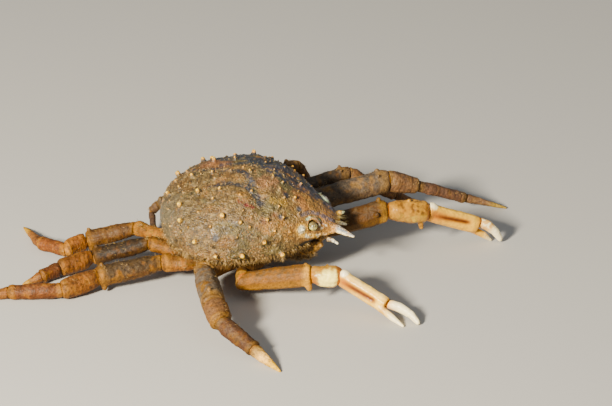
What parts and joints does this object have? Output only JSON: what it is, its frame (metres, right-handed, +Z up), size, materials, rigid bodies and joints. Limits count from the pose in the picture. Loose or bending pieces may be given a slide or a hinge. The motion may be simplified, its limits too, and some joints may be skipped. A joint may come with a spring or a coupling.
{
  "type": "common spider crab model",
  "caption": "Life-size still model of a common spider crab, knobbly pear-shaped shell, slim pale claws and long jointed legs spread as if walking.",
  "frame": {"origin": "middle of the model's box, on the floor that the crab stands on", "axes": "+X to the crab's front, +Y to its left, +Z up"},
  "size_m": [0.1624, 0.139, 0.0372],
  "materials": {
    "carapace_shell": "rough shell with silt and knobs",
    "sternum_shell": "satin shell",
    "mouthpart_shell": "satin shell",
    "cornea": "glossy",
    "claw_arm_shell": "satin shell",
    "claw_wrist_shell": "smooth pale shell",
    "claw_palm_shell": "smooth pale shell",
    "claw_finger_shell": "porcelain-like white shell",
    "leg_base_shell": "satin shell",
    "merus_shell": "silty shell",
    "leg_shell": "satin shell",
    "dactyl_shell": "satin horn"
  },
  "bodies": {
    "root": {"carapace": "carapace_shell", "sternum": "sternum_shell", "abdomen": "sternum_shell", "eye_left": "cornea", "eye_right": "cornea", "maxilliped_left": "mouthpart_shell", "maxilliped_right": "mouthpart_shell", "antenna_left": "mouthpart_shell", "antenna_right": "mouthpart_shell", "claw_left_base": "claw_arm_shell", "claw_left_merus": "claw_arm_shell", "claw_left_carpus": "claw_wrist_shell", "claw_left_palm": "claw_palm_shell", "claw_left_finger": "claw_finger_shell", "claw_right_base": "claw_arm_shell", "claw_right_merus": "claw_arm_shell", "claw_right_carpus": "claw_wrist_shell", "claw_right_palm": "claw_palm_shell", "claw_right_finger": "claw_finger_shell", "leg1_left_base": "leg_base_shell", "leg1_left_merus": "merus_shell", "leg1_left_carpus": "leg_shell", "leg1_left_propodus": "leg_shell", "leg1_left_dactyl": "dactyl_shell", "leg1_right_base": "leg_base_shell", "leg1_right_merus": "merus_shell", "leg1_right_carpus": "leg_shell", "leg1_right_propodus": "leg_shell", "leg1_right_dactyl": "dactyl_shell", "leg2_left_base": "leg_base_shell", "leg2_left_merus": "merus_shell", "leg2_left_carpus": "leg_shell", "leg2_left_propodus": "leg_shell", "leg2_left_dactyl": "dactyl_shell", "leg2_right_base": "leg_base_shell", "leg2_right_merus": "merus_shell", "leg2_right_carpus": "leg_shell", "leg2_right_propodus": "leg_shell", "leg2_right_dactyl": "dactyl_shell", "leg3_left_base": "leg_base_shell", "leg3_left_merus": "merus_shell", "leg3_left_carpus": "leg_shell", "leg3_left_propodus": "leg_shell", "leg3_left_dactyl": "dactyl_shell", "leg3_right_base": "leg_base_shell", "leg3_right_merus": "merus_shell", "leg3_right_carpus": "leg_shell", "leg3_right_propodus": "leg_shell", "leg3_right_dactyl": "dactyl_shell", "leg4_left_base": "leg_base_shell", "leg4_left_merus": "merus_shell", "leg4_left_carpus": "leg_shell", "leg4_left_propodus": "leg_shell", "leg4_left_dactyl": "dactyl_shell", "leg4_right_base": "leg_base_shell", "leg4_right_merus": "merus_shell", "leg4_right_carpus": "leg_shell", "leg4_right_propodus": "leg_shell", "leg4_right_dactyl": "dactyl_shell"}
  },
  "joints": []
}
